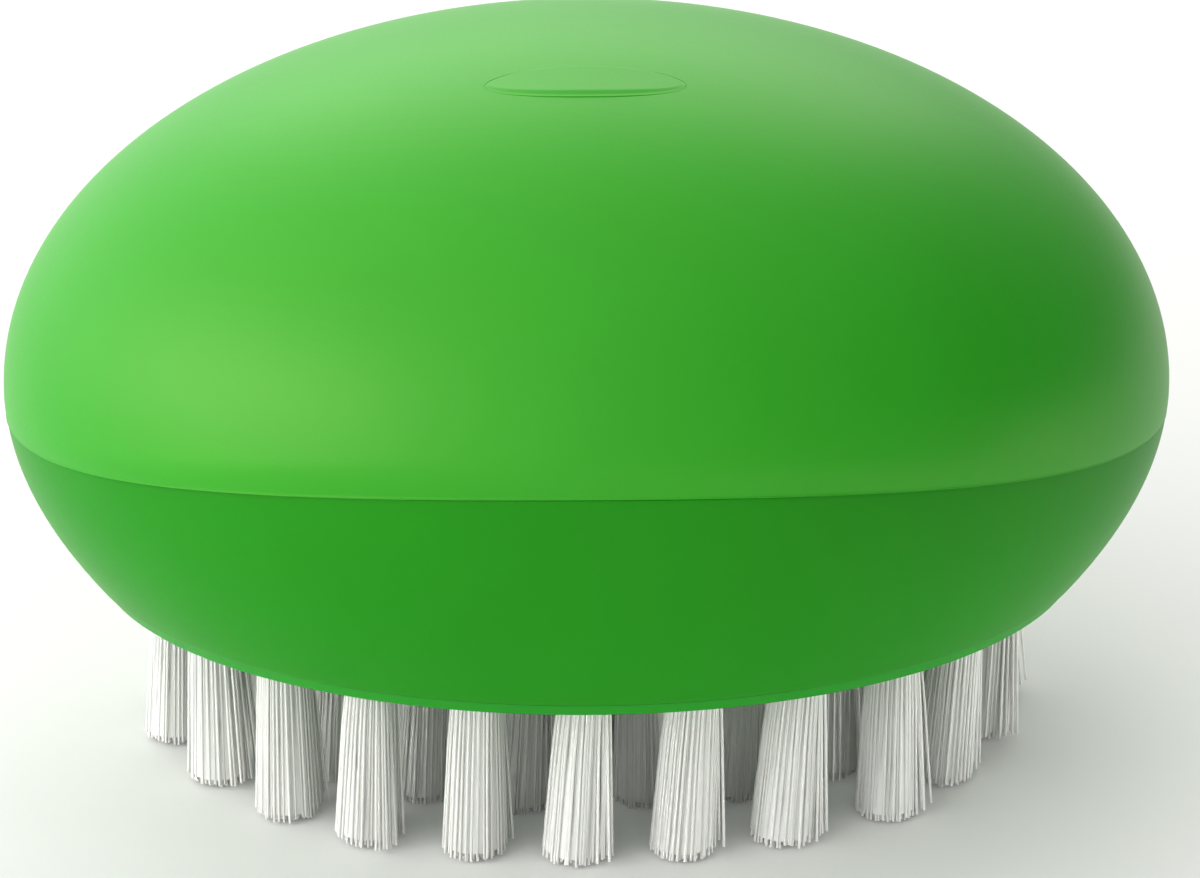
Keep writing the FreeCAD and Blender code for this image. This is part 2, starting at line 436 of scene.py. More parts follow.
@dataclass
class GripDome:
    """Upper soft grip: a pebble dome with a rolled lower edge and a bare oval pad.

    A pair of sizes holds the value at the ends of the brush and at its sides, or at the back and
    at the front of the pad.
    """

    form: BrushForm
    finish: bpy.types.Material
    around: int = 288
    dome_rows: int = 56
    roll_rows: int = 22
    edge_rows: int = 4
    lining_rows: int = 20
    roll_band: float = 3.2
    roll_focus: float = 2.2
    roll_width: tuple[float, float] = (1.2, 2.9)
    roll_depth: tuple[float, float] = (0.02, 0.52)
    lip: tuple[float, float] = (0.0, 0.07)
    lip_run: float = 0.11
    edge_radius: float = 0.06
    lining_gap: float = 0.05
    pad_half_length: float = 6.8
    pad_half_width: float = 1.85
    pad_forward: float = 10.2
    pad_lift: float = 0.06
    pad_end_drop: float = 0.42
    pad_slope_deg: float = 13.5
    pad_edge: tuple[float, float] = (0.06, 0.62)
    pad_step: tuple[float, float] = (0.004, 0.13)
    pad_lip: tuple[float, float] = (0.02, 0.10)
    pad_wall: float = 0.005
    pad_rim: float = 0.03
    pad_foot_wall: float = 0.012
    pad_foot_rim: float = 0.002
    pad_root: float = 1.2
    pad_middle: float = 0.02
    pad_points: int = 160
    pad_edge_rings: int = 9
    pad_face_rings: int = 12
    clearing_depth: float = 0.14
    clearing_top: float = 3.0

    def roll(self, turn: np.ndarray, up_from_seam: np.ndarray) -> np.ndarray:
        """Depth by which the surface rolls in towards the seam, less the thin lip at its very edge.

        Args:
            turn: angle round the oval of each point.
            up_from_seam: distance of each point above the seam.

        Returns:
            The inward shift of each point.
        """
        side = np.abs(np.sin(turn)) ** self.roll_focus
        width, depth, lip = (ends + (sides - ends) * side
                             for ends, sides in (self.roll_width, self.roll_depth, self.lip))
        edge = np.exp(-(up_from_seam / self.lip_run) ** 2)
        return depth * np.clip(1 - up_from_seam / width, 0, 1) ** 2 - lip * edge

    def outward(self, turn: np.ndarray) -> np.ndarray:
        """Level outward direction at each turn round the oval."""
        normal = np.stack([np.cos(turn) / self.form.half_length, np.sin(turn) / self.form.half_width], -1)
        return normal / np.linalg.norm(normal, axis=-1, keepdims=True)

    def ring(self, turn: np.ndarray, tilt: np.ndarray, up_from_seam: np.ndarray) -> np.ndarray:
        """Ring of points on the rolled outside of the dome.

        Args:
            turn: angle round the oval of each point.
            tilt: angle of each point from the crown.
            up_from_seam: distance of each point above the seam.

        Returns:
            One row of x, y, z per point.
        """
        form = self.form
        level = np.stack([
            form.half_length * np.sin(tilt) * np.cos(turn),
            form.half_width * np.sin(tilt) * np.sin(turn)], -1)
        level -= self.outward(turn) * self.roll(turn, up_from_seam)[:, None]
        return np.column_stack([level, form.girth + form.crown_rise * np.cos(tilt)])

    def seam_edge(self, turn: np.ndarray) -> np.ndarray:
        """Points of the dome's lower edge.

        Args:
            turn: angles round the oval.

        Returns:
            One row of x, y, z per turn, after the roll.
        """
        tilt = self.form.seam_tilt(turn, self.form.half_length, self.form.crown_rise)
        return self.ring(turn, tilt, np.zeros_like(turn))

    def rows(self) -> list[np.ndarray]:
        """Lays rings of points from outside the crown, round the lower edge, to inside the crown.

        Returns:
            One array of points per ring.
        """
        form = self.form
        turn = np.linspace(0, FULL_TURN, self.around, endpoint=False)
        tilt_end = form.seam_tilt(turn, form.half_length, form.crown_rise)
        roll_tilt = self.roll_band / form.crown_rise
        start = tilt_end - roll_tilt
        tilts = [start * (k / self.dome_rows) for k in range(1, self.dome_rows + 1)]
        tilts += [start + roll_tilt * (1 - (1 - k / self.roll_rows) ** 2) for k in range(1, self.roll_rows + 1)]
        rows = [self.ring(turn, tilt, form.crown_rise * (tilt_end - tilt)) for tilt in tilts]
        edge = rows[-1]
        for k in range(1, self.edge_rows + 1):
            bend = math.pi / 2 * k / self.edge_rows
            ring = edge.copy()
            ring[:, :2] -= self.outward(turn) * self.edge_radius * (1 - math.cos(bend))
            ring[:, 2] -= self.edge_radius * math.sin(bend)
            rows.append(ring)
        half = form.core_half + self.lining_gap
        half_width = form.core_half_width + self.lining_gap
        rise = form.core_rise + self.lining_gap
        lining_end = form.seam_tilt(turn, half, rise)
        for k in range(self.lining_rows):
            tilt = lining_end * (1 - k / self.lining_rows)
            rows.append(np.column_stack([
                half * np.sin(tilt) * np.cos(turn),
                half_width * np.sin(tilt) * np.sin(turn),
                form.girth + rise * np.cos(tilt) - self.edge_radius * (k == 0)]))
        return rows

    def shell(self) -> bpy.types.Object:
        """Makes the dome without its pad.

        Returns:
            The dome as a closed shell.
        """
        form = self.form
        rows = self.rows()
        crown = np.array([[0, 0, form.girth + form.crown_rise]])
        lining_crown = np.array([[0, 0, form.girth + form.core_rise + self.lining_gap]])
        points = np.concatenate([crown, *rows, lining_crown])
        n = self.around
        last = len(points) - 1
        inner = 1 + (len(rows) - 1) * n
        faces: list[tuple[int, ...]] = []
        for j in range(n):
            k = (j + 1) % n
            faces.append((0, 1 + j, 1 + k))
            for i in range(len(rows) - 1):
                a, b = 1 + i * n, 1 + (i + 1) * n
                faces.append((a + j, b + j, b + k, a + k))
            faces.append((last, inner + k, inner + j))
        return new_piece("grip_dome_soft", points, faces)

    def pad_tool(self, name: str, profile: list[tuple]) -> bpy.types.Object:
        """Makes an oval plug whose rings follow the pad's face.

        Args:
            name: what the plug is called.
            profile: inset from the pad's outline and height over its face, for each ring from the lowest
                up, as one number or as one for each point round the oval.

        Returns:
            The plug as a closed mesh.
        """
        form = self.form
        count = self.pad_points
        turn = np.linspace(0, FULL_TURN, count, endpoint=False)
        dome_share = math.sqrt(1 - (self.pad_forward / form.half_width) ** 2)
        middle = form.girth + form.crown_rise * dome_share + self.pad_lift
        slope = math.tan(math.radians(self.pad_slope_deg))
        rings = []
        for inset, over in profile:
            x = (self.pad_half_length - inset * self.pad_half_length / self.pad_half_width) * np.cos(turn)
            y = (self.pad_half_width - inset) * np.sin(turn)
            arch = self.pad_end_drop * (x / self.pad_half_length) ** 2
            rings.append(np.column_stack([x, y - self.pad_forward, middle + over + y * slope - arch]))
        points = np.concatenate(rings)
        faces: list[tuple[int, ...]] = [tuple(reversed(range(count)))]
        for i in range(len(rings) - 1):
            for j in range(count):
                k = (j + 1) % count
                faces.append((i * count + j, i * count + k, (i + 1) * count + k, (i + 1) * count + j))
        top = (len(rings) - 1) * count
        faces.append(tuple(range(top, top + count)))
        return new_piece(name, points, faces)

    def set_pad(self, dome: bpy.types.Object) -> None:
        """Levels the dome inside the pad's outline and sets the pad on it.

        Args:
            dome: the dome's closed shell, which gets the pad.
        """
        front = np.clip(-np.sin(np.linspace(0, FULL_TURN, self.pad_points, endpoint=False)), 0, 1)
        edge, step, lip = (back + (fore - back) * front
                           for back, fore in (self.pad_edge, self.pad_step, self.pad_lip))
        rim = self.pad_rim
        middle = self.pad_half_width - self.pad_middle
        eased = [(share, (1 - math.cos(math.pi * share)) / 2) for share in np.linspace(0, 1, self.pad_edge_rings)]
        slope = [(rim + lip + (edge - lip) * share, step * (rise - 1)) for share, rise in eased]
        face = [(rim + edge + (middle - edge - rim) * share, 0.0)
                for share in np.linspace(0, 1, self.pad_face_rings)[1:]]
        foot = [(self.pad_wall, -self.pad_root), (self.pad_wall, -step - self.pad_foot_wall),
                (rim, -step - self.pad_foot_rim)]
        clearing = self.pad_tool("pad_clearing", [
            (middle, -self.clearing_depth), (0.0, -self.clearing_depth), (0.0, self.clearing_top)])
        pad = self.pad_tool("pad_plug", [*foot, *slope, *face])
        for tool, operation in ((clearing, "DIFFERENCE"), (pad, "UNION")):
            cut = dome.modifiers.new("pad", "BOOLEAN")
            cut.operation = operation
            cut.object = tool
            cut.solver = "EXACT"
            bake(dome)
            bpy.data.objects.remove(tool)

    def build(self) -> bpy.types.Object:
        """Builds and dresses the dome.

        Returns:
            The finished piece.
        """
        dome = self.shell()
        self.set_pad(dome)
        dome.data.materials.clear()
        dome.data.materials.append(self.finish)
        smooth(dome, crease_deg=33)
        settle(dome, ["grip_dome"])
        return dome


@dataclass
class SeamFlash:
    """Thin uneven line of moulding flash along the dome's lower edge."""

    dome: GripDome
    finish: bpy.types.Material
    points: int = 480
    sides: int = 8
    radius: float = 0.05
    proud: float = -0.015
    wander: float = 0.05
    wander_mm: float = 6.0
    swell_mm: float = 2.2
    narrowest: float = 0.45
    widest: float = 1.15

    def tree(self) -> bpy.types.NodeTree:
        """Makes the tree that runs a bead of changing width along a path.

        Returns:
            The tree.
        """
        tree, known = new_tree("flash_bead", ("Bead Radius", "Wander", "Wander Scale", "Swell Scale"))
        path = add_node(tree, "GeometryNodeMeshToCurve", {0: known["Geometry"]})
        for name, scale in (("drift", "Wander Scale"), ("swell", "Swell Scale")):
            known[name] = add_node(tree, "ShaderNodeTexNoise", {"Scale": known[scale], "Detail": 2.0}).outputs[0]
        add_steps(tree, known, "ShaderNodeMath", (
            ("centred drift", "SUBTRACT", "drift", 0.5),
            ("lift", "MULTIPLY", "centred drift", "Wander")))
        add_steps(tree, known, "ShaderNodeCombineXYZ", (("offset", "", 0.0, 0.0, "lift"),))
        moved = add_node(tree, "GeometryNodeSetPosition", {0: path.outputs[0], "Offset": known["offset"]})
        width = add_node(tree, "ShaderNodeMapRange", {
            "Value": known["swell"], "From Min": 0.3, "From Max": 0.7,
            "To Min": self.narrowest, "To Max": self.widest})
        profile = add_node(tree, "GeometryNodeCurvePrimitiveCircle", {
            "Resolution": self.sides, "Radius": known["Bead Radius"]}, mode="RADIUS")
        bead = add_node(tree, "GeometryNodeCurveToMesh", {
            0: moved.outputs[0], 1: profile.outputs[0], "Scale": width.outputs[0], "Fill Caps": True})
        end_tree(tree, bead.outputs[0], known["Finish"])
        return tree

    def build(self) -> bpy.types.Object:
        """Builds and dresses the flash line.

        Returns:
            The finished piece.
        """
        turn = np.linspace(0, FULL_TURN, self.points, endpoint=False)
        path = self.dome.seam_edge(turn)
        path[:, :2] += self.dome.outward(turn) * self.proud
        piece = new_piece("seam_flash", path, [], [(i, (i + 1) % self.points) for i in range(self.points)])
        run_tree(piece, self.tree(), {
            "Bead Radius": self.radius * MM, "Wander": self.wander * MM,
            "Wander Scale": per_metre(self.wander_mm), "Swell Scale": per_metre(self.swell_mm),
            "Finish": self.finish})
        smooth(piece, crease_deg=60)
        settle(piece, [])
        return piece


@dataclass
class GripSkirt:
    """Lower soft grip: an oval wall that swells a little between its foot and the seam."""

    form: BrushForm
    finish: bpy.types.Material
    around: int = 289
    rows: int = 40
    end_top: float = 41.99
    side_top: float = 31.12
    side_foot: float = 28.04
    end_bulge: float = 1.3
    side_bulge: float = 0.72
    foot_gap: float = 0.04
    seam_gap: float = 0.10
    wall: float = 1.3
    edge_radius: float = 0.09
    edge_steps: int = 3
    edge_angle_deg: float = 50
    weld: float = 0.01

    def tree(self) -> bpy.types.NodeTree:
        """Makes the tree that bends a flat grid into the swelling oval wall.

        The half length and half width at a share s of the height are
        foot + (top - foot) * s + 4 * bulge * s * (1 - s).

        Returns:
            The tree. Its grid runs round the oval in u and from the foot to the seam in v.
        """
        tree, known = new_tree("oval_wall", (
            "Foot", "Foot Half Length", "Foot Half Width", "Girth", "Girth Half Length", "End Bulge",
            "Seam", "Seam Half Width", "Side Bulge", "Seam Drop", "Seam Gap"), ("Around", "Rows"))
        grid = add_node(tree, "GeometryNodeMeshGrid", {
            "Vertices X": known["Around"], "Vertices Y": known["Rows"], "Size X": 1.0, "Size Y": 1.0})
        uv = add_node(tree, "ShaderNodeSeparateXYZ", {0: grid.outputs["UV Map"]}).outputs
        known.update(u=uv["X"], v=uv["Y"])
        add_steps(tree, known, "ShaderNodeMath", (
            ("turn", "MULTIPLY", "u", FULL_TURN),
            ("along", "COSINE", "turn"),
            ("across", "SINE", "turn"),
            ("end", "MULTIPLY", "along", "along"),
            ("dip", "MULTIPLY", "Seam Drop", "end"),
            ("seam", "SUBTRACT", "Seam", "dip"),
            ("top", "SUBTRACT", "seam", "Seam Gap"),
            ("wall", "SUBTRACT", "top", "Foot"),
            ("height", "MULTIPLY_ADD", "wall", "v", "Foot"),
            ("rise", "SUBTRACT", "height", "Foot")))
        for way, level, foot, top, bulge, heading in (
                ("x", "Girth", "Foot Half Length", "Girth Half Length", "End Bulge", "along"),
                ("y", "Seam", "Foot Half Width", "Seam Half Width", "Side Bulge", "across")):
            add_steps(tree, known, "ShaderNodeMath", (
                ("full rise", "SUBTRACT", level, "Foot"),
                ("share", "DIVIDE", "rise", "full rise"),
                ("spread", "SUBTRACT", top, foot),
                ("straight", "MULTIPLY_ADD", "spread", "share", foot),
                ("rest", "SUBTRACT", 1.0, "share"),
                ("arch", "MULTIPLY", "share", "rest"),
                ("swelling", "MULTIPLY", bulge, 4.0),
                ("half", "MULTIPLY_ADD", "swelling", "arch", "straight"),
                (way, "MULTIPLY", "half", heading)))
        add_steps(tree, known, "ShaderNodeCombineXYZ", (("place", "", "x", "y", "height"),))
        bent = add_node(tree, "GeometryNodeSetPosition", {0: grid.outputs["Mesh"], "Position": known["place"]})
        closed = add_node(tree, "GeometryNodeMergeByDistance", {0: bent.outputs[0], "Distance": self.weld * MM})
        end_tree(tree, closed.outputs[0], known["Finish"])
        return tree

    def build(self) -> bpy.types.Object:
        """Builds and dresses the skirt.

        Returns:
            The finished piece.
        """
        form = self.form
        piece = new_piece("grip_skirt_soft", np.zeros((1, 3)), [])
        run_tree(piece, self.tree(), {
            "Foot": (form.foot + self.foot_gap) * MM, "Foot Half Length": form.rim_half * MM,
            "Foot Half Width": self.side_foot * MM, "Girth": form.girth * MM,
            "Girth Half Length": self.end_top * MM, "End Bulge": self.end_bulge * MM,
            "Seam": form.seam_height * MM, "Seam Half Width": self.side_top * MM,
            "Side Bulge": self.side_bulge * MM, "Seam Drop": form.seam_drop * MM,
            "Seam Gap": self.seam_gap * MM, "Around": self.around, "Rows": self.rows, "Finish": self.finish})
        wall = piece.modifiers.new("wall", "SOLIDIFY")
        wall.thickness = self.wall * MM
        wall.offset = -1.0
        wall.use_even_offset = True
        edge = piece.modifiers.new("edge", "BEVEL")
        edge.width = self.edge_radius * MM
        edge.segments = self.edge_steps
        edge.limit_method = "ANGLE"
        edge.angle_limit = math.radians(self.edge_angle_deg)
        bake(piece)
        smooth(piece, crease_deg=40)
        settle(piece, ["grip_skirt"])
        return piece


@dataclass
class BristleTufts:
    """Staple-set tufts of one ring, as single filaments that flare from their holes."""

    ring: Ring
    roots: list[tuple[float, float]]
    leans: dict[int, tuple[float, float]]
    finish: bpy.types.Material
    seed: int
    filaments: int = 280
    filament_radius: float = 0.10
    filament_sides: int = 5
    filament_points: int = 3
    splay: float = 0.02
    root_radius: float = 1.53
    tip_radius: float = 2.25
    core_share: float = 0.96
    core_lift: float = 0.75
    core_sides: int = 16
    fold_height: float = 16.4
    mouth_height: float = 13.3
    tip_lift: float = 0.02
    raggedness: float = 0.34
    ragged_focus: float = 1.6
    scatter: float = 0.10
    tuft_turn: float = 2.1
    stray_share: float = 0.55
    stray_reach: float = 1.1
    stray_side_step: float = 2.7
    stray_side_swing: float = 0.8
    stray_side_focus: float = 6.0
    stray_rim_focus: float = 4.0
    bow: float = 0.6

    def numbers(self) -> list[tuple]:
        """Sets down the rule of one filament: its place in the bundle, its straying, its tip and its bend.

        Returns:
            The steps of the rule, as add_steps takes them.
        """
        return [
            ("first turn", "MULTIPLY", "tuft", self.tuft_turn),
            ("turn", "MULTIPLY_ADD", "number", GOLDEN_ANGLE, "first turn"),
            ("cosine", "COSINE", "turn"),
            ("sine", "SINE", "turn"),
            ("middle number", "ADD", "number", 0.5),
            ("area share", "DIVIDE", "middle number", "Filaments"),
            ("share", "SQRT", "area share"),
            ("root reach", "MULTIPLY", "share", "Root Radius"),
            ("side phase", "MULTIPLY_ADD", "tuft", self.stray_side_step, "Seed"),
            ("side wave", "SINE", "side phase"),
            ("side", "MULTIPLY", "side wave", self.stray_side_swing),
            ("off side", "SUBTRACT", "turn", "side"),
            ("on side", "COSINE", "off side"),
            ("near side", "MAXIMUM", "on side", 0.0),
            ("facing", "POWER", "near side", self.stray_side_focus),
            ("rim", "POWER", "share", self.stray_rim_focus),
            ("edge", "MULTIPLY", "facing", "rim"),
            ("stray limit", "MULTIPLY", "edge", "Stray Share"),
            ("strays", "LESS_THAN", "stray chance", "stray limit"),
            ("full stray", "MULTIPLY", "strays", "Stray Reach"),
            ("stray", "MULTIPLY", "full stray", "stray length"),
            ("flare", "MULTIPLY_ADD", "share", "Tip Radius", "stray"),
            ("scatter x", "MULTIPLY", "x chance", "Scatter"),
            ("scatter y", "MULTIPLY", "y chance", "Scatter"),
            ("flare squared", "MULTIPLY", "flare", "flare"),
            ("twice mouth", "MULTIPLY", "Mouth Height", 2.0),
            ("swing", "DIVIDE", "flare squared", "twice mouth"),
            ("uneven", "POWER", "ragged chance", self.ragged_focus),
            ("ragged", "MULTIPLY", "uneven", "Raggedness"),
            ("even tip", "ADD", "Tip Lift", "swing"),
            ("tip height", "ADD", "even tip", "ragged"),
            ("mouth share", "DIVIDE", "Mouth Height", "Fold Height"),
            ("hidden", "SUBTRACT", 1.0, "mouth share"),
            ("past mouth", "SUBTRACT", "way", "hidden"),
            ("free", "MAXIMUM", "past mouth", 0.0),
            ("whole free", "SUBTRACT", 1.0, "hidden"),
            ("shown", "DIVIDE", "free", "whole free"),
            ("spread", "POWER", "shown", "Bow"),
            ("core top", "MULTIPLY", "Root Radius", "Core Share"),
            ("core foot", "MULTIPLY", "Tip Radius", "Core Share"),
            ("core length", "SUBTRACT", "Fold Height", "Core Lift"),
            ("up share", "DIVIDE", "up", "Fold Height"),
            ("low share", "SUBTRACT", 1.0, "up share")]

    def places(self) -> tuple[list[tuple], list[tuple]]:
        """Sets down where a filament's root, tip and bends lie, and how its tuft's packed middle leans.

        Returns:
            The steps that make vectors of numbers, and the steps that work with these vectors.
        """
        vectors = [
            ("spoke", "", "cosine", "sine", 0.0),
            ("root up", "", 0.0, 0.0, "Fold Height"),
            ("scatter", "", "scatter x", "scatter y", 0.0),
            ("tip up", "", 0.0, 0.0, "tip height"),
            ("pace", "", "spread", "spread", "way"),
            ("core up", "", 0.0, 0.0, "Core Lift")]
        moves = [
            ("root out", "MULTIPLY", "spoke", "root reach"),
            ("level root", "ADD", "centre", "root out"),
            ("root", "ADD", "level root", "root up"),
            ("tip out", "MULTIPLY", "spoke", "flare"),
            ("foot", "ADD", "centre", "lean"),
            ("level tip", "ADD", "foot", "tip out"),
            ("scattered tip", "ADD", "level tip", "scatter"),
            ("tip", "ADD", "scattered tip", "tip up"),
            ("span", "SUBTRACT", "kept tip", "kept root"),
            ("bend", "MULTIPLY_ADD", "span", "pace", "kept root"),
            ("core shift", "MULTIPLY_ADD", "lean", "low share", "core up")]
        return vectors, moves

    def tree(self) -> bpy.types.NodeTree:
        """Makes the tree that grows a bundle of filaments from each root point.

        Returns:
            The tree. Root and tip of each filament are set on points, then bent into tubes.
        """
        tree, known = new_tree("bristle_filaments", (
            "Filament Radius", "Root Radius", "Tip Radius", "Core Share", "Core Lift", "Fold Height",
            "Mouth Height", "Tip Lift", "Raggedness", "Scatter", "Stray Share", "Stray Reach", "Bow"),
            ("Filaments", "Seed"))
        numbered = add_node(tree, "GeometryNodeStoreNamedAttribute", {
            0: known["Geometry"], "Name": "tuft",
            "Value": add_node(tree, "GeometryNodeInputIndex").outputs[0]}, data_type="INT")
        copies = add_node(tree, "GeometryNodeDuplicateElements", {
            0: numbered.outputs[0], "Amount": known["Filaments"]}, domain="POINT")
        known["number"] = copies.outputs["Duplicate Index"]
        known["way"] = add_node(tree, "GeometryNodeSplineParameter").outputs["Factor"]
        known["centre"] = add_node(tree, "GeometryNodeInputPosition").outputs[0]
        known["up"] = add_node(tree, "ShaderNodeSeparateXYZ", {0: known["centre"]}).outputs["Z"]
        for name, attribute, kind in (("tuft", "tuft", "INT"), ("lean", "lean", "FLOAT_VECTOR"),
                                      ("kept root", "root", "FLOAT_VECTOR"), ("kept tip", "tip", "FLOAT_VECTOR")):
            known[name] = add_node(tree, "GeometryNodeInputNamedAttribute", {0: attribute},
                                   data_type=kind).outputs[0]
        chances = (("stray chance", 0.0, 1.0), ("stray length", 0.35, 1.0), ("x chance", -1.0, 1.0),
                   ("y chance", -1.0, 1.0), ("ragged chance", 0.0, 1.0), ("tone", 0.0, 1.0))
        for salt, (name, low, high) in enumerate(chances, start=1):
            add_steps(tree, known, "ShaderNodeMath", (("salted seed", "ADD", "Seed", float(salt)),))
            known[name] = add_node(tree, "FunctionNodeRandomValue", {
                2: low, 3: high, "Seed": known["salted seed"]}).outputs[1]
        vectors, moves = self.places()
        add_steps(tree, known, "ShaderNodeMath", self.numbers())
        add_steps(tree, known, "ShaderNodeCombineXYZ", vectors)
        add_steps(tree, known, "ShaderNodeVectorMath", moves)

        marked = copies.outputs["Geometry"]
        for attribute, value, kind in (("root", "root", "FLOAT_VECTOR"), ("tip", "tip", "FLOAT_VECTOR"),
                                       ("filament_tone", "tone", "FLOAT")):
            marked = add_node(tree, "GeometryNodeStoreNamedAttribute", {
                0: marked, "Name": attribute, "Value": known[value]}, data_type=kind).outputs[0]
        strand = add_node(tree, "GeometryNodeCurvePrimitiveLine", {"End": (0.0, 0.0, MM)})
        stepped = add_node(tree, "GeometryNodeResampleCurve", {
            0: strand.outputs[0], "Count": self.filament_points})
        grown = add_node(tree, "GeometryNodeInstanceOnPoints", {"Points": marked, "Instance": stepped.outputs[0]})
        strands = add_node(tree, "GeometryNodeRealizeInstances", {0: grown.outputs[0]})
        bent = add_node(tree, "GeometryNodeSetPosition", {0: strands.outputs[0], "Position": known["bend"]})
        section = add_node(tree, "GeometryNodeCurvePrimitiveCircle", {
            "Resolution": self.filament_sides, "Radius": known["Filament Radius"]}, mode="RADIUS")
        tubes = add_node(tree, "GeometryNodeCurveToMesh", {
            0: bent.outputs[0], 1: section.outputs[0], "Fill Caps": True})

        packed = add_node(tree, "GeometryNodeMeshCone", {
            "Vertices": self.core_sides, "Radius Top": known["core top"], "Radius Bottom": known["core foot"],
            "Depth": known["core length"]})
        cores = add_node(tree, "GeometryNodeInstanceOnPoints", {
            "Points": numbered.outputs[0], "Instance": packed.outputs["Mesh"]})
        standing = add_node(tree, "GeometryNodeRealizeInstances", {0: cores.outputs[0]})
        leaning = add_node(tree, "GeometryNodeSetPosition", {
            0: standing.outputs[0], "Offset": known["core shift"]})
        tufts = add_node(tree, "GeometryNodeJoinGeometry", {0: tubes.outputs[0]})
        feed(tree, tufts, {0: leaning.outputs[0]})
        end_tree(tree, tufts.outputs[0], known["Finish"])
        return tree

    def build(self) -> bpy.types.Object:
        """Builds and dresses the ring's tufts.

        Returns:
            The finished piece, which stands for all CAD tufts of the ring.
        """
        points = np.array([(x, y, 0.0) for x, y in self.roots])
        piece = new_piece(f"bristles_{self.ring.value}", points, [])
        leans = points * self.splay
        for number, lean in self.leans.items():
            leans[number, :2] = lean
        marks = piece.data.attributes.new("lean", "FLOAT_VECTOR", "POINT")
        marks.data.foreach_set("vector", (leans * MM).ravel())
        run_tree(piece, self.tree(), {
            "Filament Radius": self.filament_radius * MM, "Root Radius": self.root_radius * MM,
            "Tip Radius": self.tip_radius * MM, "Core Share": self.core_share, "Core Lift": self.core_lift * MM,
            "Fold Height": self.fold_height * MM, "Mouth Height": self.mouth_height * MM,
            "Tip Lift": self.tip_lift * MM, "Raggedness": self.raggedness * MM, "Scatter": self.scatter * MM,
            "Stray Share": self.stray_share, "Stray Reach": self.stray_reach * MM, "Bow": self.bow,
            "Filaments": self.filaments, "Seed": self.seed, "Finish": self.finish})
        smooth(piece, crease_deg=75)
        nodes = [f"tuft_{self.ring.value}_{i + 1:02d}" for i in range(len(self.roots))]
        settle(piece, nodes)
        return piece


@dataclass
class BristleField:
    """Layout of all tufts: three ovals and a middle row, as drilled in the block."""

    finish: bpy.types.Material
    outer_half: tuple[float, float] = (30.2, 22.2476)
    pitch: float = 7.4159
    counts: dict[Ring, int] = field(default_factory=lambda: {Ring.OUTER: 22, Ring.SECOND: 16, Ring.INNER: 10})
    starts: dict[Ring, float] = field(default_factory=lambda: {
        Ring.OUTER: 0.5, Ring.SECOND: 0.5, Ring.INNER: 0.0})
    row_count: int = 3
    oval_points: int = 7201
    first_seed: int = 11
    seed_step: int = 7
    leans: dict[Ring, dict[int, tuple[float, float]]] = field(default_factory=lambda: {
        Ring.OUTER: {11: (-0.9, -0.5), 12: (-0.15, -0.4), 13: (-0.15, -0.4), 14: (-0.8, -0.4), 15: (-0.5, -0.3),
                     16: (-1.0, -0.5), 17: (-1.0, -0.6), 18: (-1.1, -0.9), 19: (-0.1, -0.9), 20: (-1.1, -0.9),
                     21: (-0.8, -0.5)},
        Ring.SECOND: {9: (-1.0, -0.9), 10: (-1.0, -0.7), 11: (-1.0, -0.7), 12: (0.2, 0.0), 13: (-0.8, -0.8),
                      14: (0.1, -0.9)}})

    def oval(self, ring: Ring, inset: float) -> list[tuple[float, float]]:
        """Places the roots of one oval evenly along it.

        Args:
            ring: which oval.
            inset: how far it lies inside the outer one.

        Returns:
            The x and y of each root.
        """
        turn = np.linspace(0, FULL_TURN, self.oval_points)
        x = (self.outer_half[0] - inset) * np.cos(turn)
        y = (self.outer_half[1] - inset) * np.sin(turn)
        run = np.concatenate([[0.0], np.cumsum(np.hypot(np.diff(x), np.diff(y)))])
        stops = run[-1] * (np.arange(self.counts[ring]) + self.starts[ring]) / self.counts[ring]
        return list(zip(np.interp(stops, run, x).tolist(), np.interp(stops, run, y).tolist()))

    def build(self) -> list[bpy.types.Object]:
        """Builds all tufts, one piece for each ring.

        Returns:
            The finished pieces.
        """
        roots = {ring: self.oval(ring, i * self.pitch) for i, ring in enumerate(self.counts)}
        inner_half = self.outer_half[0] - 2 * self.pitch
        step = 2 * inner_half / (self.row_count + 1)
        roots[Ring.CENTRE] = [(step * (i + 1) - inner_half, 0.0) for i in range(self.row_count)]
        return [BristleTufts(ring, places, self.leans.get(ring, {}), self.finish,
                             seed=self.first_seed + self.seed_step * i).build()
                for i, (ring, places) in enumerate(roots.items())]


@dataclass
class CarriedSolids:
    """CAD solids whose shape is right as it is: the block, the core and the tuft anchors."""

    finishes: dict[str, bpy.types.Material]

    def build(self) -> list[bpy.types.Object]:
        """Dresses each solid in its finish.

        Returns:
            The dressed CAD objects.
        """
        dressed = []
        for node, finish in self.finishes.items():
            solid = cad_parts[node]
            solid.data.materials.clear()
            solid.data.materials.append(finish)
            dressed.append(solid)
        return dressed


@dataclass(frozen=True)
class SoftBox:
    """One soft studio lamp that faces the brush."""

    name: str
    place_mm: tuple[float, float, float]
    aim_mm: tuple[float, float, float]
    size_mm: tuple[float, float]
    watts: float
    spread_deg: float = 180.0

    def build(self) -> None:
        """Hangs the lamp."""
        lamp = bpy.data.lights.new(self.name, "AREA")
        lamp.shape = "RECTANGLE"
        lamp.size, lamp.size_y = (s * MM for s in self.size_mm)
        lamp.energy = self.watts
        lamp.spread = math.radians(self.spread_deg)
        holder = bpy.data.objects.new(self.name, lamp)
        place = Vector(self.place_mm) * MM
        facing = (Vector(self.aim_mm) * MM - place).to_track_quat("-Z", "Y")
        holder.matrix_world = Matrix.LocRotScale(place, facing, None)
        bpy.context.scene.collection.objects.link(holder)


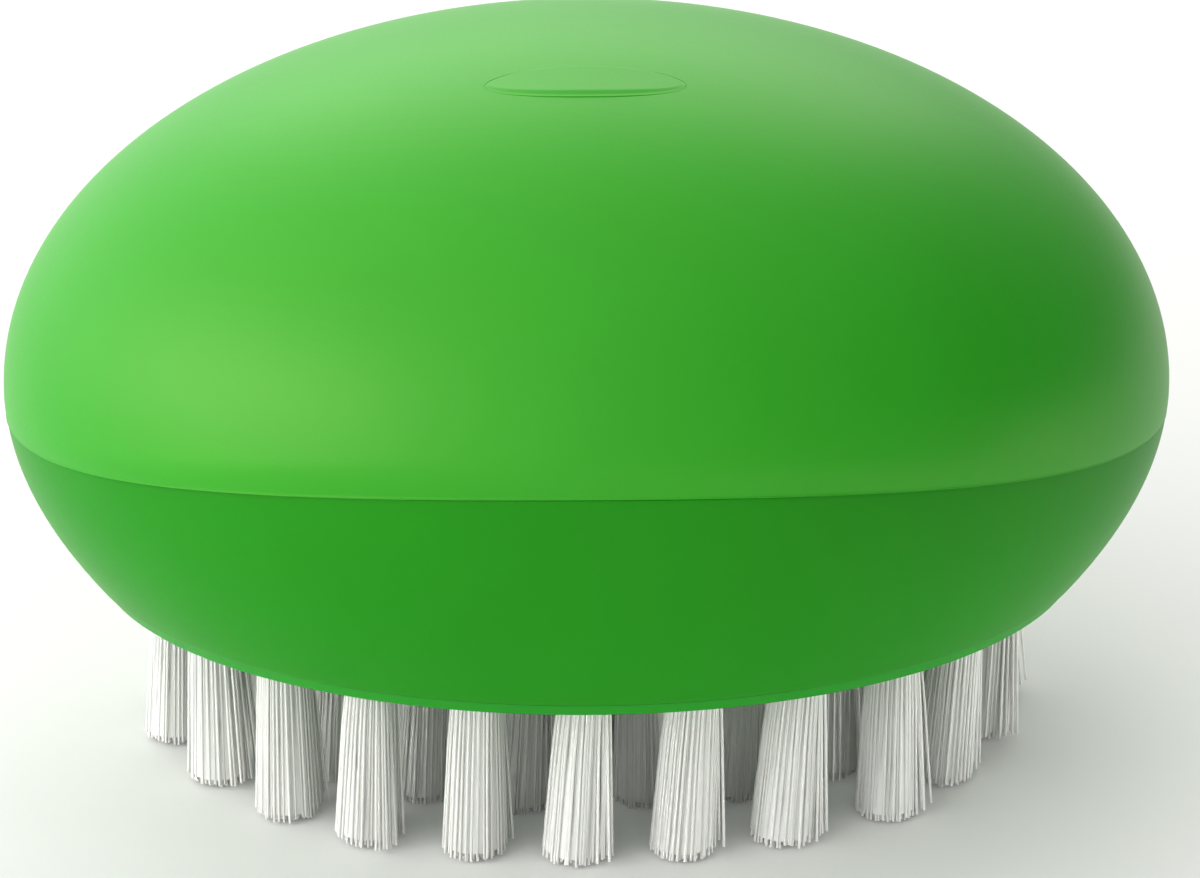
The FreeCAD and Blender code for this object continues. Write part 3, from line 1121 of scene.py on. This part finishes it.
@dataclass
class Studio:
    """Pale sweep, soft lamps and the camera at the photograph's place."""

    distance: float = 240.0
    height: float = 122.80
    pan_deg: float = -0.225
    tilt_deg: float = 22.825
    roll_deg: float = -0.208
    focal_px: float = 3559.99
    sensor_mm: float = 36.0
    ambient: float = 0.90
    ambient_lean: tuple[float, float, float] = (-0.84, 0.12, 0.0)
    white: str = "#FFFFFF"
    floor_colour: str = "#DEDEDB"
    floor_glow: float = 0.08
    floor_reach: float = 1600.0
    lamps: tuple[SoftBox, ...] = (
        SoftBox("window_lamp", (-570, -329, 264), (0, 0, 25), (700, 380), 2.5),
        SoftBox("back_lamp", (0, 495, 520), (0, 0, 25), (800, 500), 2.35),
        SoftBox("low_right_lamp", (250, -50, 12), (28, -10, 8), (160, 20), 0.008, 10.0),
        SoftBox("low_left_lamp", (-250, -110, 12), (-20, -10, 8), (160, 20), 0.003, 10.0),
    )

    def camera(self) -> None:
        """Sets up the camera."""
        pan, tilt, roll = (math.radians(a) for a in (self.pan_deg, self.tilt_deg, self.roll_deg))
        lens = bpy.data.cameras.new("camera")
        lens.sensor_fit = "HORIZONTAL"
        lens.sensor_width = self.sensor_mm
        lens.lens = self.focal_px * self.sensor_mm / PHOTO_WIDTH_PX
        lens.clip_start = 0.01
        holder = bpy.data.objects.new("camera", lens)
        forward = Vector((-math.sin(pan) * math.cos(tilt), math.cos(pan) * math.cos(tilt), -math.sin(tilt)))
        place = Vector((0, -self.distance, self.height)) * MM
        aim = forward.to_track_quat("-Z", "Y").to_matrix() @ Matrix.Rotation(roll, 3, "Z")
        holder.matrix_world = Matrix.Translation(place) @ aim.to_4x4()
        bpy.context.scene.collection.objects.link(holder)
        bpy.context.scene.camera = holder

    def floor(self) -> None:
        """Lays the pale floor, which looks a little paler than the light on it makes it."""
        corners = np.array([(-1, -1, 0), (1, -1, 0), (1, 1, 0), (-1, 1, 0)]) * self.floor_reach
        floor = new_piece("floor", corners, [(0, 1, 2, 3)])
        material, tree, shader = new_material("pale_sweep_paper")
        known = dict(add_node(tree, "ShaderNodeLightPath").outputs.items())
        add_steps(tree, known, "ShaderNodeMath", (
            ("seen or mirrored", "MAXIMUM", "Is Camera Ray", "Is Glossy Ray"),
            ("shown", "MAXIMUM", "seen or mirrored", "Is Transmission Ray"),
            ("glow", "MULTIPLY", "shown", self.floor_glow)))
        feed(tree, shader, {
            "Base Color": linear(self.floor_colour), "Roughness": 0.9, "Specular IOR Level": 0.1,
            "Emission Color": linear(self.white), "Emission Strength": known["glow"]})
        floor.data.materials.append(material)

    def surroundings(self) -> None:
        """Makes the surroundings: soft white light that fades towards the right."""
        world = bpy.data.worlds.new("white_surroundings")
        world.use_nodes = True
        tree = world.node_tree
        way = add_node(tree, "ShaderNodeTexCoord").outputs["Generated"]
        lean = add_node(tree, "ShaderNodeVectorMath", {0: way, 1: self.ambient_lean}, operation="DOT_PRODUCT")
        soft = add_node(tree, "ShaderNodeMath", {0: lean.outputs["Value"], 1: self.ambient}, operation="ADD")
        feed(tree, tree.nodes["Background"], {"Color": linear(self.white), "Strength": soft.outputs[0]})
        bpy.context.scene.world = world

    def build(self) -> None:
        """Builds the whole studio."""
        self.camera()
        self.floor()
        self.surroundings()
        for lamp in self.lamps:
            lamp.build()
        bpy.context.scene.view_settings.view_transform = "Standard"


def main() -> None:
    """Builds the brush piece by piece, then the studio round it."""
    logging.basicConfig(level=logging.INFO, format="%(name)s: %(message)s")
    soft = SoftTouchElastomer("moulded_soft_elastomer", "#179A13", "#1BA017", gloss=0.62).material()
    # Same elastomer as the dome: the skirt's darker base and cloud colours are painted shade, and its gloss is
    # lower.
    painted_shade_soft = SoftTouchElastomer("moulded_soft_elastomer_painted_shade", "#118610", "#158C12", gloss=0.24).material()
    nylon = NylonMonofilament().material()
    green = MouldedPolypropylene("moulded_green_polypropylene", "#129010", gloss=0.26).material()
    pale = MouldedPolypropylene("moulded_natural_polypropylene", "#D9D8CF", gloss=0.5).material()
    form = BrushForm()
    dome = GripDome(form, soft)
    pieces = [dome.build(), SeamFlash(dome, soft).build(), GripSkirt(form, painted_shade_soft).build()]
    pieces += BristleField(nylon).build()
    pieces += CarriedSolids({
        "bristle_block": green, "core_shell": pale, "tuft_anchors": DrawnSteelWire().material()}).build()
    for piece in pieces:
        LOG.info("%s: %d faces", piece.name, len(piece.data.polygons))
    Studio().build()


if __name__ == "__main__":
    main()
